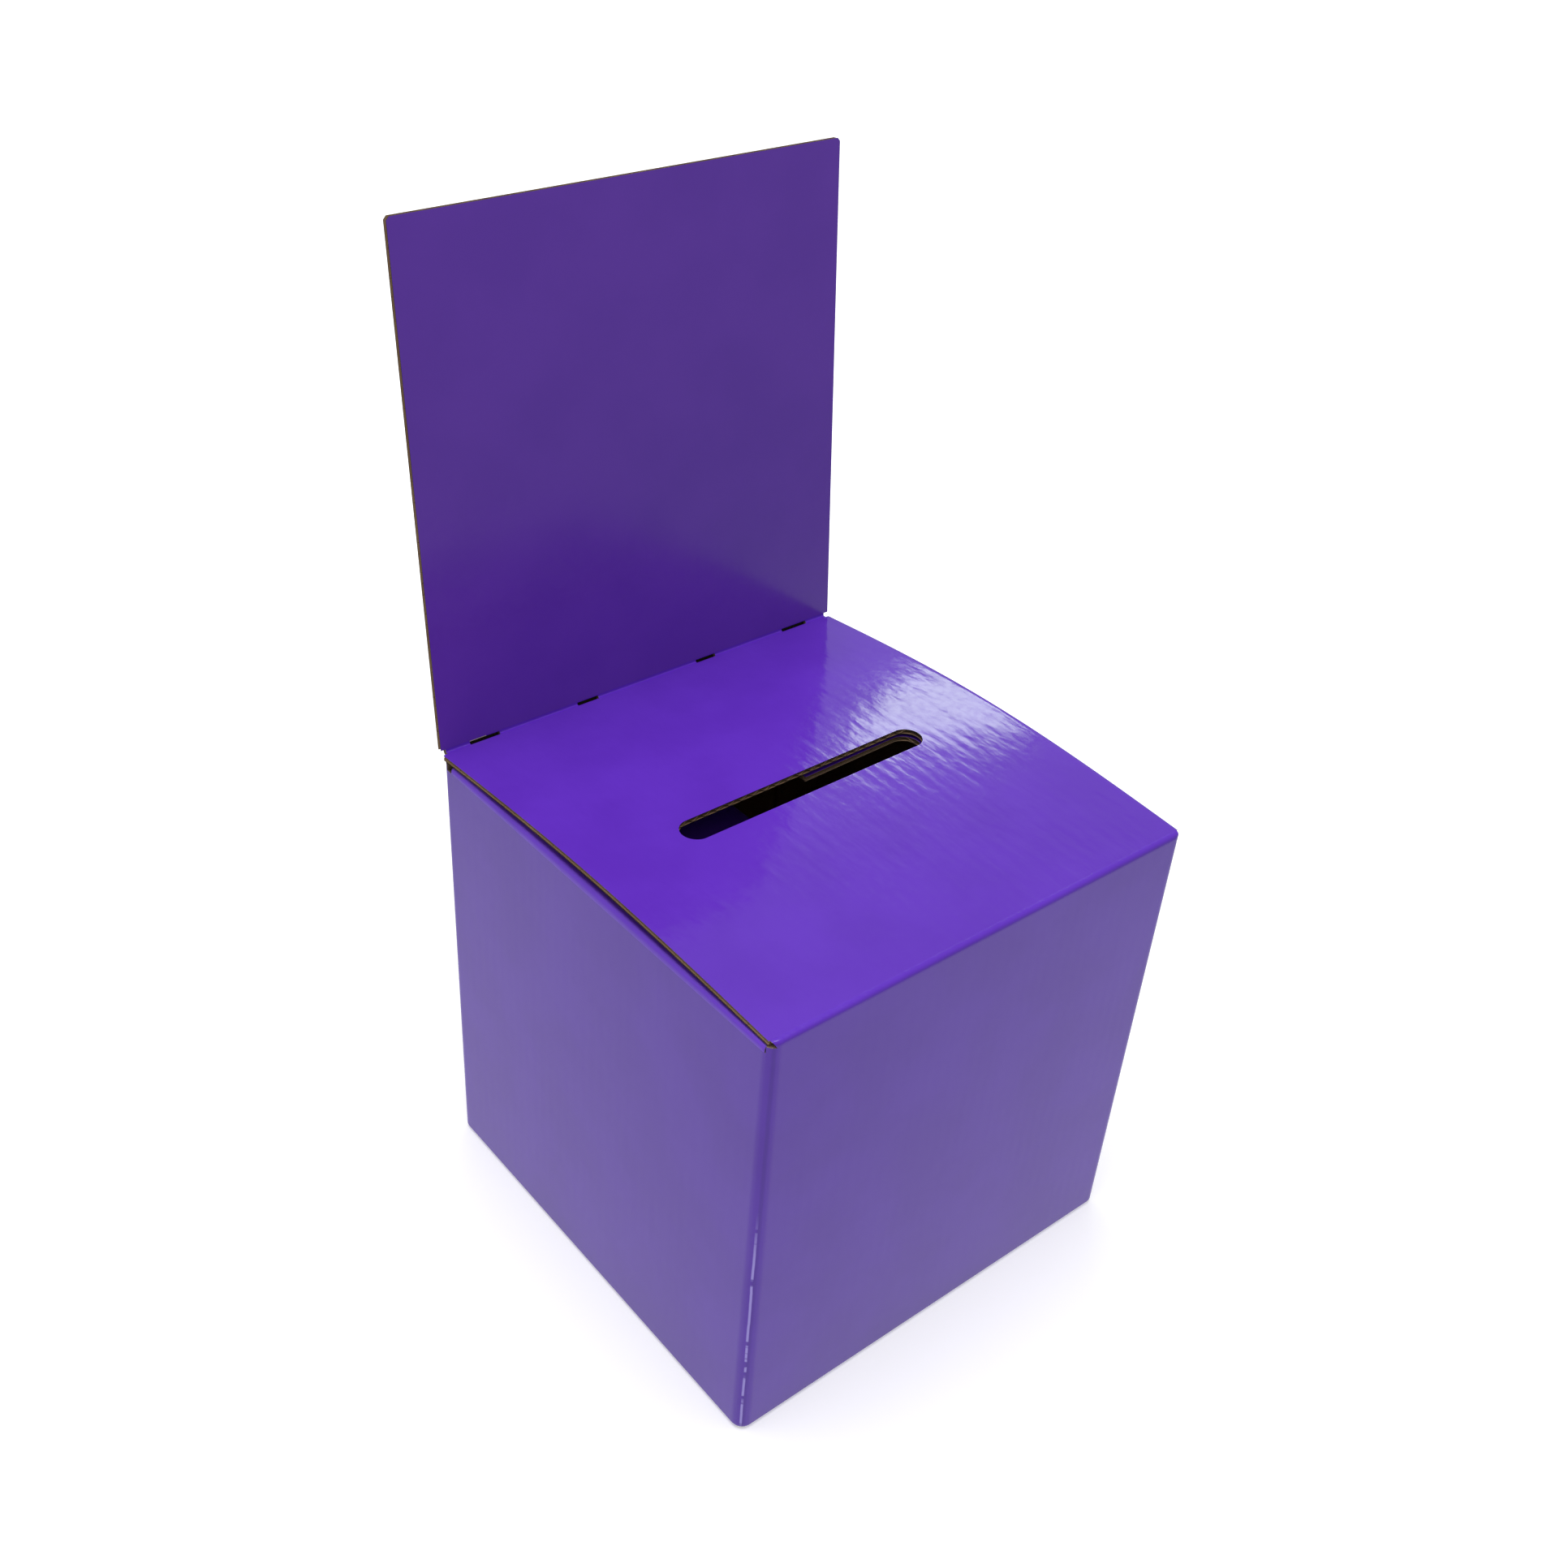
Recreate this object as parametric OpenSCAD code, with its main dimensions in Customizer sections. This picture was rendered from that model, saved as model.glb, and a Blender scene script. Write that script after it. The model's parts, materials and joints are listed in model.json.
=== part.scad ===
// Cardboard ballot box, folded from one printed and die-cut blank of corrugated board.
// The cube's lid is hinged on the front wall and has the ballot slot. A header panel stands
// on the lid's rear crease, which four slits weaken so that it folds towards the print.
// Each panel is a printed liner, a fluted sheet and a plain inner liner, and each fold is a
// strip of crushed board. The front of the box faces -Y, and the floor is at z = 0.

/* [Box] */
// Width over the side walls
box_w = 203; // [165:1:300]
// Depth over the front and back walls
box_d = 203; // [165:1:300]
// Height from the floor to the top of the closed lid
box_h = 203; // [120:1:300]

/* [Board] */
// Thickness of the corrugated board
board_t = 2.2; // [1.5:0.1:3.5]
// Thickness of each paper liner
liner_t = 0.25; // [0.15:0.05:0.4]
// Thickness of the fluted paper
medium_t = 0.2; // [0.1:0.05:0.35]
// Distance from one flute to the next
flute_pitch = 5.8; // [3:0.1:8]
// Inner radius of a right-angle fold
fold_inner_r = 0.3; // [0.2:0.1:1.5]

/* [Lid and slot] */
// Distance of the lid's side edges inside the faces of the side walls
lid_inset = 0.8; // [0.4:0.1:3]
// Reach of the lid's rear crease past the back wall
lid_overhang = 1.5; // [0.5:0.1:4]
// Air between the lid and the back wall's top edge
lid_seat_gap = 0.4; // [0.2:0.1:1]
// Corner cut off the lid at its rear crease
lid_corner = 1.5; // [0.5:0.5:5]
// Length of the ballot slot
slot_l = 119; // [60:1:130]
// Width of the ballot slot
slot_w = 13; // [6:0.5:20]

/* [Header] */
// Height of the header above its crease
header_h = 206.6; // [60:0.2:300]
// Lean of the header to the rear, in degrees
header_tilt = 4.8; // [0:0.2:15]
// Width cut off each bottom corner
header_foot_w = 2.5; // [0.5:0.5:8]
// Height cut off each bottom corner
header_foot_h = 4; // [1:0.5:12]
// Radius of the top corners
header_corner_r = 0.8; // [0.4:0.2:12]

/* [Header crease] */
// Half of the width of the crushed strip
crease_half_w = 1.3; // [0.6:0.1:1.8]
// Length of the outer slits
outer_slit_l = 14; // [6:0.5:20]
// Length of the inner slits
inner_slit_l = 10.5; // [6:0.5:20]
// Distance of the outer slits' middles from the lid's side edges
outer_slit_inset = 19.5; // [14:0.5:24]
// Distance of the inner slits' middles from the middle of the box
inner_slit_x = 31; // [14:0.5:36]

/* [Dust flaps] */
// Distance of each flap's free end from the middle of the box
flap_centre_gap = 6.5; // [1:0.5:20]
// Air between the closed lid and the creases of the flaps
flap_lid_gap = 0.6; // [0.3:0.1:3]
// Distance of a flap's front corner behind the lid's crease
flap_front_gap = 4; // [3:0.5:15]
// Retreat of a flap's front edge for each millimetre of its reach
flap_front_taper = 0.58; // [0.56:0.02:0.7]
// Distance of a flap's rear corner from the end of its wall
flap_rear_gap = 1; // [0.5:0.5:6]
// Retreat of a flap's rear edge for each millimetre of its reach
flap_rear_taper = 0.04; // [0.02:0.02:0.2]
// Clearance of the flaps' notches round the ballot slot
notch_gap = 0.5; // [0.2:0.1:2]
// Sag of the left flap below level, in degrees
left_flap_sag = 12; // [0:1:20]
// Sag of the right flap below level, in degrees
right_flap_sag = 1.2; // [0:0.2:20]

/* [Snap-lock bottom] */
// Air between the layers of the bottom
lap_gap = 0.1; // [0:0.05:0.3]
// Reach of the front bottom flap past the middle of the box
front_lap = 8; // [4:1:14]
// Corner cut off the front bottom flap beside its tongue
shoulder_corner = 10; // [4:1:20]
// Width of the tongue
tongue_w = 90; // [50:1:94]
// Length of the tongue's tip, which lies on the rear bottom flap
tongue_tip_l = 22; // [10:1:26]
// Clearance of the tongue in the rear bottom flap's recess
recess_gap = 3; // [1:0.5:5]
// Distance of the recess's edge behind the middle of the box
recess_y = 30; // [26:1:36]
// Reach of the rear bottom flap's legs past the middle of the box
leg_lap = 8; // [2:1:20]
// Length over which the side bottom flaps climb to their layer
side_step_l = 6; // [4:0.5:9]
// Length over which the rear bottom flap climbs to its layer
rear_step_l = 10; // [8:0.5:13]
// Retreat of the side bottom flaps' ends towards their free edges
side_flap_taper = 16; // [4:1:20]
// Clearance of the bottom flaps from the walls and folds beside them
bottom_gap = 1.5; // [0.5:0.5:3]

/* [Glue joint] */
// Width of the glue tab
tab_w = 25; // [12:1:40]
// Distance of the tab's ends from the floor and from the top of its wall
tab_end = 9; // [9:1:20]
// Slant of the tab's ends
tab_slant = 10; // [2:1:20]
// Thickness of the glue line
glue_t = 0.1; // [0.05:0.05:0.3]
// Width of the glue line
glue_w = 18; // [8:1:22]

/* [Hidden] */
fold_r = fold_inner_r + board_t;
half_w = box_w / 2;
half_d = box_d / 2;
fold_x = half_w - fold_r;
fold_y = half_d - fold_r;
wall_top = box_h - fold_r;
back_top = box_h - board_t - lid_seat_gap;
flap_top = box_h - board_t - flap_lid_gap;
side_top = flap_top - fold_r;
tab_face_y = half_d - board_t - glue_t;
right_end_y = tab_face_y - fold_r;
lid_half = half_w - lid_inset;
lid_rear = half_d + lid_overhang;
lid_cut = lid_rear - crease_half_w;
slot_y = (lid_rear - half_d) / 2;
flap_reach = fold_x - flap_centre_gap;
flap_front = flap_front_gap - fold_y;
flap_rear = right_end_y - flap_rear_gap;
layer = board_t + lap_gap;
side_root_x = fold_x - side_step_l;
rear_root_y = fold_y - rear_step_l;
recess_half = tongue_w / 2 + recess_gap;
wall_gap = board_t + bottom_gap;
outer_slit_x = lid_half - outer_slit_inset;
crease_end = lid_half - lid_corner;
// Facets in one flute, and the half height of the fluted sheet's middle line
flute_facets = 8;
flute_half = (board_t - 2 * liner_t - medium_t) / 2;
// Angle by which the round back of the header crease runs into its flat ends
crease_overlap = 3;
curve_fn = 48;
corner_steps = 6;
print_colour = "rebeccapurple";
fold_colour = "mediumpurple";
kraft_colour = "peru";
medium_colour = "burlywood";
glue_colour = "ivory";

// The three layers of a panel. The printed face is at z = 0, and the board lies below it.
module printed_layer() translate([0, 0, -liner_t]) linear_extrude(liner_t) children();
module inner_layer() translate([0, 0, -board_t]) linear_extrude(liner_t) children();

// Height of the fluted sheet's middle line, with flat crests that lie on the liners
function flute_z(k) =
    flute_half * sin(360 * (k + 0.5) / flute_facets) / sin(90 - 180 / flute_facets);

// Fluted sheet between two corners, with its flutes along Y
module flutes(x0, x1, y0, y1) {
    step = flute_pitch / flute_facets;
    n = floor((x1 - x0) / step);
    start = (x0 + x1 - n * step) / 2;
    upper = [for (k = [0 : n]) [start + k * step, flute_z(k) + medium_t / 2]];
    lower = [for (k = [n : -1 : 0]) [start + k * step, flute_z(k) - medium_t / 2]];
    translate([0, y1, -board_t / 2]) rotate([90, 0, 0])
        linear_extrude(y1 - y0) polygon(concat(upper, lower));
}

// Fluted sheet between two corners, cut to the outline given as a child
module cut_flutes(x0, x1, y0, y1) intersection() {
    flutes(x0, x1, y0, y1);
    translate([0, 0, -board_t]) linear_extrude(board_t) children();
}

// Places of the panels, from a frame with X across the flutes, Y along them and Z out of the print
module on_front() translate([0, -half_d, 0]) rotate([90, 0, 0]) children();
module on_back() translate([0, half_d, 0]) rotate([90, 0, 180]) children();
module on_left() translate([-half_w, 0, 0]) rotate([90, 0, -90]) children();
module on_right() translate([half_w, 0, 0]) rotate([90, 0, 90]) children();
module on_lid() translate([0, 0, box_h]) children();
module on_header() translate([0, lid_rear, box_h]) rotate([90 - header_tilt, 0, 0]) children();
module on_left_flap()
    translate([-fold_x, 0, side_top]) rotate([0, left_flap_sag, 0]) rotate([0, 0, -90])
        translate([0, 0, fold_r]) children();
module on_right_flap()
    translate([fold_x, 0, side_top]) rotate([0, -right_flap_sag, 0]) rotate([0, 0, 90])
        translate([0, 0, fold_r]) children();
module on_front_bottom() rotate([0, 180, 0]) children();
module on_rear_bottom() translate([0, 0, 2 * layer]) rotate([180, 0, 0]) children();
module on_left_bottom() translate([0, 0, layer]) rotate([180, 0, 90]) children();
module on_right_bottom() translate([0, 0, layer]) rotate([180, 0, -90]) children();

// Rectangle between two corners
module rectangle(x0, x1, y0, y1) translate([x0, y0]) square([x1 - x0, y1 - y0]);

// Points of a quarter round, from one angle to the next
function round_points(x, y, r, from) =
    [for (i = [0 : corner_steps]) [x + r * cos(from + 90 * i / corner_steps),
                                   y + r * sin(from + 90 * i / corner_steps)]];

// Outlines of the panels
module front_outline() rectangle(-fold_x, fold_x, fold_r, wall_top);
module left_outline() rectangle(-fold_y, fold_y, fold_r, side_top);
module right_outline() rectangle(-fold_y, right_end_y, fold_r, side_top);
module back_outline() rectangle(-half_w, fold_x, fold_r, back_top);

module stadium(length, width) {
    for (side = [-1, 1])
        translate([side * (length - width) / 2, 0]) circle(d = width, $fn = curve_fn);
    square([length - width, width], center = true);
}

module lid_outline() difference() {
    polygon([
        [-lid_half, -fold_y], [lid_half, -fold_y], [lid_half, lid_cut - lid_corner],
        [lid_half - lid_corner, lid_cut], [lid_corner - lid_half, lid_cut],
        [-lid_half, lid_cut - lid_corner]
    ]);
    translate([0, slot_y]) stadium(slot_l, slot_w);
}

module header_outline() polygon(concat(
    [[header_foot_w - lid_half, crease_half_w], [lid_half - header_foot_w, crease_half_w],
     [lid_half, crease_half_w + header_foot_h]],
    round_points(lid_half - header_corner_r, header_h - header_corner_r, header_corner_r, 0),
    round_points(header_corner_r - lid_half, header_h - header_corner_r, header_corner_r, 90),
    [[-lid_half, crease_half_w + header_foot_h]]
));

// Dust flap, drawn with the box's Y along X and the flap's reach along Y
module flap_outline() difference() {
    polygon([
        [flap_front, 0], [flap_rear, 0], [flap_rear - flap_rear_taper * flap_reach, flap_reach],
        [flap_front + flap_front_taper * flap_reach, flap_reach]
    ]);
    translate([slot_y, fold_x - (slot_l - slot_w) / 2]) {
        circle(d = slot_w + 2 * notch_gap, $fn = curve_fn);
        translate([-slot_w / 2 - notch_gap, 0]) square([slot_w + 2 * notch_gap, half_w]);
    }
}

module front_bottom_outline() {
    edge = side_root_x - bottom_gap / 2;
    polygon([
        [-edge, -fold_y], [edge, -fold_y], [edge, front_lap - shoulder_corner],
        [edge - shoulder_corner, front_lap], [shoulder_corner - edge, front_lap],
        [-edge, front_lap - shoulder_corner]
    ]);
}

// Rear bottom flap, drawn with its reach from the back wall along +Y
module rear_bottom_outline() {
    edge = half_w - wall_gap;
    polygon([
        [-edge, -rear_root_y], [edge, -rear_root_y], [edge, leg_lap], [recess_half, leg_lap],
        [recess_half, -recess_y], [-recess_half, -recess_y], [-recess_half, leg_lap],
        [-edge, leg_lap]
    ]);
}

// Side bottom flap, drawn with the box's Y along X and its reach from the wall along +Y
module side_bottom_outline() {
    front = wall_gap - half_d;
    rear = rear_root_y - bottom_gap;
    polygon([
        [front, -side_root_x], [rear, -side_root_x],
        [rear - side_flap_taper, -recess_half - bottom_gap],
        [front + side_flap_taper, -recess_half - bottom_gap]
    ]);
}

module tab_outline() {
    low = fold_r + tab_end;
    high = side_top - tab_end;
    polygon([
        [-fold_x, low], [tab_w - fold_x, low + tab_slant],
        [tab_w - fold_x, high - tab_slant], [-fold_x, high]
    ]);
}

// Section of a fold: a ring from one direction through an angle
module fold_section(from, angle) rotate(from) intersection() {
    difference() {
        circle(r = fold_r, $fn = curve_fn);
        circle(r = fold_inner_r, $fn = curve_fn);
    }
    polygon([for (i = [-1 : 2]) i < 0 ? [0, 0] :
        2 * fold_r * [cos(angle * i / 2), sin(angle * i / 2)]]);
}

// Extrusions of a section along X, with the box's Y and Z in its plane, and along Y
module along_x(from, to) translate([from, 0, 0]) rotate([90, 0, 90])
    linear_extrude(to - from) children();
module along_y(from, to) translate([0, to, 0]) rotate([90, 0, 0])
    linear_extrude(to - from) children();

// Board that climbs from the floor to a layer of the bottom, in a section that starts at x = 0
module step_section(length, rise)
    polygon([[0, 0], [length, rise], [length, rise + board_t], [0, board_t]]);

module corner_fold(x, y, from, low, high)
    translate([x, y, low]) linear_extrude(high - low) fold_section(from, 90);

// Crease of a side bottom flap: the fold under the wall, and the climb to its layer
module side_bottom_fold(end_y) {
    along_y(-fold_y, end_y) translate([-fold_x, fold_r]) fold_section(180, 90);
    along_y(wall_gap - half_d, rear_root_y - bottom_gap)
        translate([-fold_x, 0]) step_section(side_step_l, layer);
}

// Walls
module front_wall_printed_liner()
    color(print_colour) on_front() printed_layer() front_outline();
module front_wall_fluting()
    color(medium_colour) on_front() flutes(-fold_x, fold_x, fold_r, wall_top);
module front_wall_inner_liner()
    color(kraft_colour) on_front() inner_layer() front_outline();
module left_wall_printed_liner()
    color(print_colour) on_left() printed_layer() left_outline();
module left_wall_fluting()
    color(medium_colour) on_left() flutes(-fold_y, fold_y, fold_r, side_top);
module left_wall_inner_liner()
    color(kraft_colour) on_left() inner_layer() left_outline();
module right_wall_printed_liner()
    color(print_colour) on_right() printed_layer() right_outline();
module right_wall_fluting()
    color(medium_colour) on_right() flutes(-fold_y, right_end_y, fold_r, side_top);
module right_wall_inner_liner()
    color(kraft_colour) on_right() inner_layer() right_outline();
module back_wall_printed_liner()
    color(print_colour) on_back() printed_layer() back_outline();
module back_wall_fluting()
    color(medium_colour) on_back() flutes(-half_w, fold_x, fold_r, back_top);
module back_wall_inner_liner()
    color(kraft_colour) on_back() inner_layer() back_outline();

// Lid and header
module lid_printed_liner() color(print_colour) on_lid() printed_layer() lid_outline();
module lid_fluting()
    color(medium_colour) on_lid() cut_flutes(-lid_half, lid_half, -fold_y, lid_cut) lid_outline();
module lid_inner_liner() color(kraft_colour) on_lid() inner_layer() lid_outline();
module header_printed_liner()
    color(print_colour) on_header() printed_layer() header_outline();
module header_fluting()
    color(medium_colour) on_header()
        cut_flutes(-lid_half, lid_half, crease_half_w, header_h) header_outline();
module header_inner_liner()
    color(kraft_colour) on_header() inner_layer() header_outline();

// Dust flaps: the left one is the right one's mirror image
module left_dust_flap_printed_liner()
    color(print_colour) on_left_flap() printed_layer() mirror([1, 0]) flap_outline();
module left_dust_flap_fluting()
    color(medium_colour) on_left_flap()
        cut_flutes(-flap_rear, -flap_front, 0, flap_reach) mirror([1, 0]) flap_outline();
module left_dust_flap_inner_liner()
    color(kraft_colour) on_left_flap() inner_layer() mirror([1, 0]) flap_outline();
module right_dust_flap_printed_liner()
    color(print_colour) on_right_flap() printed_layer() flap_outline();
module right_dust_flap_fluting()
    color(medium_colour) on_right_flap()
        cut_flutes(flap_front, flap_rear, 0, flap_reach) flap_outline();
module right_dust_flap_inner_liner()
    color(kraft_colour) on_right_flap() inner_layer() flap_outline();

// Bottom flaps
module front_bottom_printed_liner()
    color(print_colour) on_front_bottom() printed_layer() front_bottom_outline();
module front_bottom_fluting()
    color(medium_colour) on_front_bottom()
        cut_flutes(-half_w, half_w, -fold_y, front_lap) front_bottom_outline();
module front_bottom_inner_liner()
    color(kraft_colour) on_front_bottom() inner_layer() front_bottom_outline();
module rear_bottom_printed_liner()
    color(print_colour) on_rear_bottom() printed_layer() rear_bottom_outline();
module rear_bottom_fluting()
    color(medium_colour) on_rear_bottom()
        cut_flutes(-half_w, half_w, -rear_root_y, leg_lap) rear_bottom_outline();
module rear_bottom_inner_liner()
    color(kraft_colour) on_rear_bottom() inner_layer() rear_bottom_outline();
module left_bottom_printed_liner()
    color(print_colour) on_left_bottom() printed_layer() side_bottom_outline();
module left_bottom_fluting()
    color(medium_colour) on_left_bottom()
        cut_flutes(-half_d, half_d, -side_root_x, 0) side_bottom_outline();
module left_bottom_inner_liner()
    color(kraft_colour) on_left_bottom() inner_layer() side_bottom_outline();
module right_bottom_printed_liner()
    color(print_colour) on_right_bottom() printed_layer() mirror([1, 0]) side_bottom_outline();
module right_bottom_fluting()
    color(medium_colour) on_right_bottom()
        cut_flutes(-half_d, half_d, -side_root_x, 0) mirror([1, 0]) side_bottom_outline();
module right_bottom_inner_liner()
    color(kraft_colour) on_right_bottom() inner_layer() mirror([1, 0]) side_bottom_outline();

// Tongue of the front bottom flap: it climbs through the recess and lies on the rear flap
module front_bottom_tongue() color(fold_colour) {
    lift = 3 * layer;
    climb = recess_y - recess_gap - front_lap;
    along_x(-tongue_w / 2, tongue_w / 2) translate([front_lap, 0]) polygon([
        [0, 0], [climb, lift], [climb + tongue_tip_l, lift],
        [climb + tongue_tip_l, lift + board_t], [climb, lift + board_t], [0, board_t]
    ]);
}

// Folds between the walls
module front_left_corner_crease()
    color(fold_colour) corner_fold(-fold_x, -fold_y, 180, fold_r, wall_top);
module front_right_corner_crease()
    color(fold_colour) corner_fold(fold_x, -fold_y, 270, fold_r, wall_top);
module rear_left_corner_crease()
    color(fold_colour) corner_fold(-fold_x, fold_y, 90, fold_r, back_top);
module rear_right_corner_crease()
    color(fold_colour) corner_fold(fold_x, right_end_y, 0, fold_r, side_top);

// Folds of the moving panels
module lid_crease() color(fold_colour)
    along_x(-fold_x, fold_x) translate([-fold_y, wall_top]) fold_section(90, 90);
module left_dust_flap_crease() color(fold_colour)
    along_y(flap_front, flap_rear) translate([-fold_x, side_top])
        fold_section(90 - left_flap_sag, 90 + left_flap_sag);
module right_dust_flap_crease() color(fold_colour)
    along_y(flap_front, flap_rear) translate([fold_x, side_top])
        fold_section(0, 90 + right_flap_sag);

// Header crease: the strips of crushed board that are left between the four slits
module header_crease() color(fold_colour) {
    outer_far = outer_slit_x + outer_slit_l / 2;
    outer_near = outer_slit_x - outer_slit_l / 2;
    inner_far = inner_slit_x + inner_slit_l / 2;
    inner_near = inner_slit_x - inner_slit_l / 2;
    for (span = [[-crease_end, -outer_far], [-outer_near, -inner_far], [-inner_near, inner_near],
                 [inner_far, outer_near], [outer_far, crease_end]])
        along_x(span[0], span[1]) translate([lid_rear, box_h]) header_crease_section();
}

module header_crease_section() {
    translate([-crease_half_w, -board_t]) square([crease_half_w, board_t]);
    intersection() {
        circle(r = board_t, $fn = curve_fn);
        polygon([
            [0, 0], 2 * board_t * [-sin(crease_overlap), -cos(crease_overlap)],
            [2 * board_t, -2 * board_t],
            2 * board_t * [cos(crease_overlap - header_tilt), sin(crease_overlap - header_tilt)]
        ]);
    }
    rotate(-header_tilt) square([board_t, crease_half_w]);
}

// Folds under the walls
module front_bottom_crease() color(fold_colour)
    along_x(-fold_x, fold_x) translate([-fold_y, fold_r]) fold_section(180, 90);
module left_bottom_crease() color(fold_colour) side_bottom_fold(fold_y);
module right_bottom_crease() color(fold_colour) mirror([1, 0, 0]) side_bottom_fold(right_end_y);
module rear_bottom_crease() color(fold_colour) {
    along_x(-fold_x, fold_x) translate([fold_y, fold_r]) fold_section(270, 90);
    along_x(wall_gap - half_w, half_w - wall_gap)
        translate([fold_y, 0]) mirror([1, 0]) step_section(rear_step_l, 2 * layer);
}

// Seam of the blank: the right wall's tab, glued inside the back wall
module glue_tab() color(kraft_colour)
    translate([0, tab_face_y, 0]) rotate([90, 0, 180])
        translate([0, 0, -board_t]) linear_extrude(board_t) tab_outline();
module glue_line() color(glue_colour) {
    low = fold_r + tab_end + tab_slant;
    high = side_top - tab_end - tab_slant;
    translate([fold_x - (tab_w + glue_w) / 2, tab_face_y, low]) cube([glue_w, glue_t, high - low]);
}

front_wall_printed_liner();
front_wall_fluting();
front_wall_inner_liner();
left_wall_printed_liner();
left_wall_fluting();
left_wall_inner_liner();
right_wall_printed_liner();
right_wall_fluting();
right_wall_inner_liner();
back_wall_printed_liner();
back_wall_fluting();
back_wall_inner_liner();
lid_printed_liner();
lid_fluting();
lid_inner_liner();
header_printed_liner();
header_fluting();
header_inner_liner();
left_dust_flap_printed_liner();
left_dust_flap_fluting();
left_dust_flap_inner_liner();
right_dust_flap_printed_liner();
right_dust_flap_fluting();
right_dust_flap_inner_liner();
front_bottom_printed_liner();
front_bottom_fluting();
front_bottom_inner_liner();
left_bottom_printed_liner();
left_bottom_fluting();
left_bottom_inner_liner();
right_bottom_printed_liner();
right_bottom_fluting();
right_bottom_inner_liner();
rear_bottom_printed_liner();
rear_bottom_fluting();
rear_bottom_inner_liner();
front_bottom_tongue();
front_left_corner_crease();
front_right_corner_crease();
rear_left_corner_crease();
rear_right_corner_crease();
lid_crease();
header_crease();
left_dust_flap_crease();
right_dust_flap_crease();
front_bottom_crease();
left_bottom_crease();
right_bottom_crease();
rear_bottom_crease();
glue_tab();
glue_line();
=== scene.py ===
import json
from math import cos, pi, radians, sin

import bpy
import numpy as np
from mathutils import Matrix, Vector


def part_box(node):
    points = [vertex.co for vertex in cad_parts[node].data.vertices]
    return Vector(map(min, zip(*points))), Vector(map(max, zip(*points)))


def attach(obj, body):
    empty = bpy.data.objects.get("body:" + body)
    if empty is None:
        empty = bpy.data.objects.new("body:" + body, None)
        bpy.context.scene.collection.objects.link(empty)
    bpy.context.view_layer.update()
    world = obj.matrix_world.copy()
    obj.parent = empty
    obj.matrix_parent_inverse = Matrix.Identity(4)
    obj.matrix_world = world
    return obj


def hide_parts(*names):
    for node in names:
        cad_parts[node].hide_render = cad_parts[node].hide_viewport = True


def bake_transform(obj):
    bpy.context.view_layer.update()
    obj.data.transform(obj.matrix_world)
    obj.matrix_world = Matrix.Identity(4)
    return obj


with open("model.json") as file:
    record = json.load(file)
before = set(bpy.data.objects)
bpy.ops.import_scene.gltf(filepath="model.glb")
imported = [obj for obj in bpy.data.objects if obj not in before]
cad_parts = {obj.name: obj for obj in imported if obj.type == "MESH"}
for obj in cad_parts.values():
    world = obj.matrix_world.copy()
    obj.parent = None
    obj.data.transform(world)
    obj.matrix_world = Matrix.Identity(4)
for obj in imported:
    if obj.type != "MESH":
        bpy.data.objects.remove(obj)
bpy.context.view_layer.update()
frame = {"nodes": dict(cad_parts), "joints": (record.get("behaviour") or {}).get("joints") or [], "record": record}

# Sizes of the box and its board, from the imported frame
front_low, front_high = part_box("front_wall_printed_liner")
lid_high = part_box("lid_printed_liner")[1]
HALF = -front_low.y
LINER = front_high.y - front_low.y
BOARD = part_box("front_wall_inner_liner")[1].y + HALF
FOLD = HALF + front_low.x
INNER_FOLD = FOLD - BOARD
FOLD_AT = HALF - FOLD
WALL_TOP = front_high.z
LID_TOP = lid_high.z
LID_SIDE = lid_high.x
LID_CUT = lid_high.y
SIDE_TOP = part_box("left_wall_printed_liner")[1].z
RIGHT_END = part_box("right_wall_printed_liner")[1].y
BACK_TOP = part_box("back_wall_printed_liner")[1].z
HINGE = {joint["name"]: Vector(joint["pos_m"]) for joint in frame["joints"]}
SLOT_AT = Vector(next(m["pos_m"] for m in frame["record"]["mounts"] if m["name"] == "ballot_slot"))

# Board: its flutes, and how deep and how evenly they show through the print
FLUTE_PITCH = 0.0058
FLUTE_PAPER = 0.0002
FLUTE_HEIGHT = (BOARD - 2 * LINER - FLUTE_PAPER) / 2
WASHBOARD = 0.000015
LID_WASHBOARD = 0.00003
WASHBOARD_MEAN = 0.65
WASHBOARD_SWING = 0.25

# Slot and lid
SLOT_LENGTH = 0.119
SLOT_WIDTH = 0.013
CUTTER_HEIGHT = 0.02
CUTTER_SIDES = 64
LID_CORNER = 0.0004
LID_REACH = 0.1013
LID_ARCH_LEFT = 0.0042
LID_ARCH_RIGHT = 0.0058
LID_EDGE_DROP = 0.0003
LID_EDGE_WIDTH = 0.0016

# Header, and the crease at its foot, which is whole in strips and slit between them
HEADER_SIDE = 0.1014
HEADER_HEIGHT = 0.2066
HEADER_TILT = 4.8
HEADER_FOOT = (0.0025, 0.004)
HEADER_CORNER = 0.0012
HEADER_BEND = 0.0003
CREASE_HALF = 0.0013
SLIT_HALF = 0.00085
# End of the pale left part of the first slit's upper lip: painted light of the floor seen through the slit
LIT_LIP_END = -0.0805
STRIPS = (
    (-0.0992, -0.0882),
    (-0.0742, -0.03625),
    (-0.02575, 0.02575),
    (0.03625, 0.0742),
    (0.0882, 0.0992),
)
SLITS = [(before[1], after[0]) for before, after in zip(STRIPS, STRIPS[1:])]

# Dust flaps: outline, rise under the lid, and sag in degrees
FLAP_FRONT = -0.095
FLAP_REAR = 0.0957
FLAP_REACH = 0.0925
FLAP_FRONT_TAPER = 0.58
FLAP_REAR_TAPER = 0.04
FLAP_FOLD_FRONT = 0.0985
NOTCH_GAP = 0.0005
FLAP_LIFT = 0.0012
FLAP_ARCH = 0.0055
FLAP_LIFT_REACH = 0.04
LEFT_SAG = 12
RIGHT_SAG = 1.2

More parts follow.
